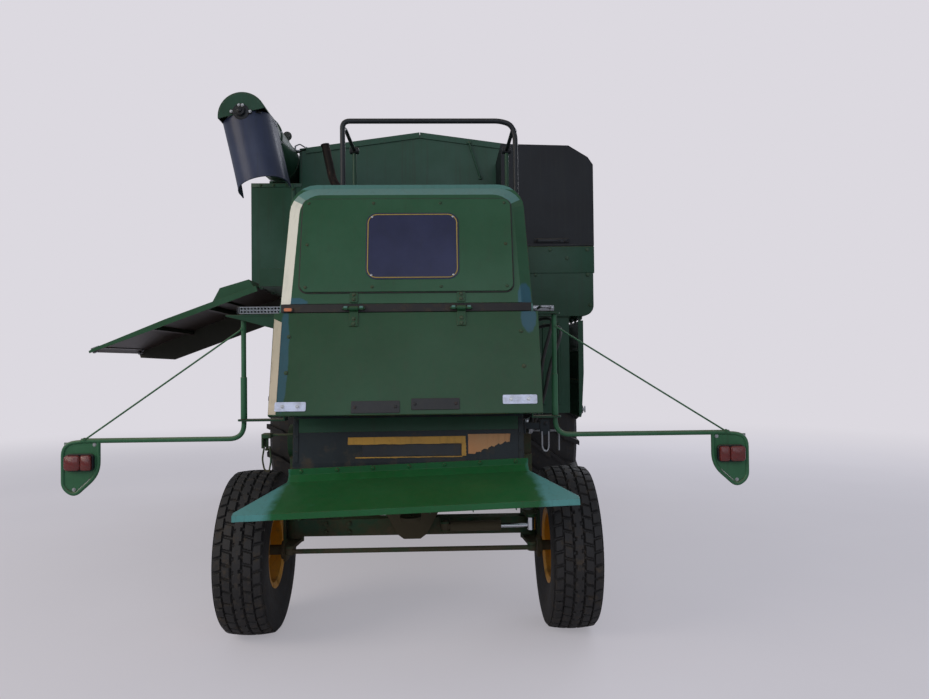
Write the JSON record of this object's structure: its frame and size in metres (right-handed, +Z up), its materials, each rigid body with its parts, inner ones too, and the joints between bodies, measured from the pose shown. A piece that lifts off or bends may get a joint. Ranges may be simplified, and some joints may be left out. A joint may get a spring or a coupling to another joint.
{
  "type": "combine harvester",
  "caption": "Self-propelled combine harvester without its header: hood and straw chopper behind, grain tank with auger, cab, feeder housing and steered rear wheels.",
  "frame": {"origin": "on the ground, under the middle of the machine's box", "axes": "+X to the machine's right, +Y forward to the header end, +Z up"},
  "size_m": [4.4544, 6.9228, 3.7709],
  "materials": {
    "frame_paint": "worn satin",
    "axle_paint": "worn satin",
    "body_paint": "faded satin",
    "tailboard_paint": "scratched gloss",
    "chopper_paint": "worn satin",
    "black_paint": "matt",
    "rim_paint": "worn gloss",
    "bright_steel": "worn",
    "tyre": "dusty",
    "belt_rubber": "matt",
    "glass": "clear",
    "seat_cover": "grained"
  },
  "bodies": {
    "chassis": {"main_frame": "frame_paint", "rear_axle": "axle_paint", "steer_barrel": "frame_paint", "front_axle": "frame_paint", "separator_body": "body_paint", "side_bodies": "body_paint", "hood_shell": "body_paint", "hood_cover": "body_paint", "chopper_housing": "chopper_paint", "tailboard": "tailboard_paint", "grain_tank": "body_paint", "engine_block": "black_paint", "exhaust": "black_paint", "guard_rail": "black_paint", "screen_housing": "black_paint", "arm_brackets": "body_paint", "work_light": "black_paint", "auger_base": "body_paint", "drive_pulleys": "black_paint", "drive_belts": "belt_rubber", "grain_elevator": "body_paint", "cab_shell": "body_paint", "cab_roof": "body_paint", "cab_glass": "glass", "cab_seat": "seat_cover", "platform": "body_paint", "cab_mirrors": "black_paint"},
    "knuckle_left": {"knuckle_left": "axle_paint"},
    "knuckle_right": {"knuckle_right": "axle_paint"},
    "tie_rod": {"tie_rod": "bright_steel"},
    "steer_rod": {"steer_rod": "bright_steel"},
    "wheel_rear_left": {"rear_rim_left": "rim_paint", "rear_tyre_left": "tyre"},
    "wheel_rear_right": {"rear_rim_right": "rim_paint", "rear_tyre_right": "tyre"},
    "wheel_front_left": {"front_rim_left": "rim_paint", "front_tyre_left": "tyre"},
    "wheel_front_right": {"front_rim_right": "rim_paint", "front_tyre_right": "tyre"},
    "flap": {"hood_flap": "body_paint"},
    "chopper": {"chopper_rotor": "bright_steel"},
    "lid_left": {"tank_lid_left": "body_paint"},
    "lid_right": {"tank_lid_right": "body_paint"},
    "auger": {"auger_tube": "body_paint"},
    "door_left": {"side_door_left": "body_paint"},
    "door_right": {"side_door_right": "body_paint"},
    "arm_left": {"lamp_arm_left": "body_paint"},
    "arm_right": {"lamp_arm_right": "body_paint"},
    "cab_door": {"cab_door": "body_paint", "cab_door_glass": "glass"},
    "screen": {"rotary_screen": "bright_steel"},
    "feeder": {"feeder_house": "body_paint"},
    "lift_barrel_left": {"lift_barrel_left": "frame_paint"},
    "lift_barrel_right": {"lift_barrel_right": "frame_paint"},
    "lift_rod_left": {"lift_rod_left": "bright_steel"},
    "lift_rod_right": {"lift_rod_right": "bright_steel"}
  },
  "joints": [
    {"name": "steering", "type": "hinge", "parent": "chassis", "child": "knuckle_left", "pos_m": [-0.4518, -2.70937, 0.6205], "axis": [0, 0, 1], "range_deg": [-28, 28]},
    {"name": "steering_right", "type": "hinge", "parent": "chassis", "child": "knuckle_right", "pos_m": [0.9682, -2.70937, 0.6205], "axis": [0, 0, 1], "range_deg": [-28, 28]},
    {"name": "tie_rod_swing", "type": "hinge", "parent": "knuckle_left", "child": "tie_rod", "pos_m": [-0.4518, -2.89937, 0.52], "axis": [0, 0, 1], "range_deg": [-28, 28]},
    {"name": "steer_rod_slide", "type": "slide", "parent": "chassis", "child": "steer_rod", "axis": [1, 0, 0], "range_m": [-0.072, 0.072]},
    {"name": "rear_left_spin", "type": "hinge", "parent": "knuckle_left", "child": "wheel_rear_left", "pos_m": [-0.6818, -2.70937, 0.4825], "axis": [1, 0, 0], "continuous": true},
    {"name": "rear_right_spin", "type": "hinge", "parent": "knuckle_right", "child": "wheel_rear_right", "pos_m": [1.1982, -2.70937, 0.4825], "axis": [1, 0, 0], "continuous": true},
    {"name": "front_left_spin", "type": "hinge", "parent": "chassis", "child": "wheel_front_left", "pos_m": [-0.99179, 0.94063, 0.9], "axis": [1, 0, 0], "continuous": true},
    {"name": "front_right_spin", "type": "hinge", "parent": "chassis", "child": "wheel_front_right", "pos_m": [1.50821, 0.94063, 0.9], "axis": [1, 0, 0], "continuous": true},
    {"name": "flap_swing", "type": "hinge", "parent": "chassis", "child": "flap", "pos_m": [0.25821, -3.20137, 1.912], "axis": [-1, 0, 0], "range_deg": [0, 60]},
    {"name": "chopper_spin", "type": "hinge", "parent": "chassis", "child": "chopper", "pos_m": [0.25821, -2.85937, 1.16], "axis": [1, 0, 0], "continuous": true},
    {"name": "lid_left_open", "type": "hinge", "parent": "chassis", "child": "lid_left", "pos_m": [-0.85979, 0.44063, 3.606], "axis": [0, -1, 0], "range_deg": [0, 80]},
    {"name": "lid_right_open", "type": "hinge", "parent": "chassis", "child": "lid_right", "pos_m": [1.3762, 0.44063, 3.606], "axis": [0, 1, 0], "range_deg": [0, 80]},
    {"name": "auger_swing", "type": "hinge", "parent": "chassis", "child": "auger", "pos_m": [-1.06679, 0.99063, 3.4], "axis": [0, 0, -1], "range_deg": [0, 95]},
    {"name": "door_left_swing", "type": "hinge", "parent": "chassis", "child": "door_left", "pos_m": [-0.9418, -1.14937, 2.21], "axis": [0, 1, 0], "range_deg": [-70, 0]},
    {"name": "door_right_swing", "type": "hinge", "parent": "chassis", "child": "door_right", "pos_m": [1.64321, -0.52937, 1.985], "axis": [0, -1, 0], "range_deg": [0, 70]},
    {"name": "arm_left_fold", "type": "hinge", "parent": "chassis", "child": "arm_left", "pos_m": [-0.6818, -3.00937, 1.6], "axis": [0, 0, 1], "range_deg": [0, 80]},
    {"name": "arm_right_fold", "type": "hinge", "parent": "chassis", "child": "arm_right", "pos_m": [1.09821, -3.00937, 1.6], "axis": [0, 0, -1], "range_deg": [0, 80]},
    {"name": "cab_door_swing", "type": "hinge", "parent": "chassis", "child": "cab_door", "pos_m": [-0.58079, 1.93663, 2.7], "axis": [0, 0, 1], "range_deg": [0, 75]},
    {"name": "screen_spin", "type": "hinge", "parent": "chassis", "child": "screen", "pos_m": [1.75821, -0.71437, 2.99], "axis": [1, 0, 0], "continuous": true},
    {"name": "feeder_lift", "type": "hinge", "parent": "chassis", "child": "feeder", "pos_m": [0.25821, 1.55063, 1.45], "axis": [1, 0, 0], "range_deg": [-6, 20]},
    {"name": "lift_tilt_left", "type": "hinge", "parent": "chassis", "child": "lift_barrel_left", "pos_m": [-0.19179, 1.19063, 0.7], "axis": [1, 0, 0], "range_deg": [-6, 16]},
    {"name": "lift_slide_left", "type": "slide", "parent": "lift_barrel_left", "child": "lift_rod_left", "axis": [0, 1, 0.0052], "range_m": [-0.09, 0.27]},
    {"name": "lift_tilt_right", "type": "hinge", "parent": "chassis", "child": "lift_barrel_right", "pos_m": [0.7082, 1.19063, 0.7], "axis": [1, 0, 0], "range_deg": [-6, 16]},
    {"name": "lift_slide_right", "type": "slide", "parent": "lift_barrel_right", "child": "lift_rod_right", "axis": [0, 1, 0.0052], "range_m": [-0.09, 0.27]}
  ],
  "couplings": [
    {"joint": "steering_right", "follows": "steering", "ratio": 1},
    {"joint": "tie_rod_swing", "follows": "steering", "ratio": -1},
    {"joint": "steer_rod_slide", "follows": "steering", "m_per_rad": 0.1441},
    {"joint": "lift_tilt_left", "follows": "feeder_lift", "ratio": 0.69715},
    {"joint": "lift_slide_left", "follows": "feeder_lift", "m_per_rad": 0.71077},
    {"joint": "lift_tilt_right", "follows": "feeder_lift", "ratio": 0.69715},
    {"joint": "lift_slide_right", "follows": "feeder_lift", "m_per_rad": 0.71077}
  ]
}
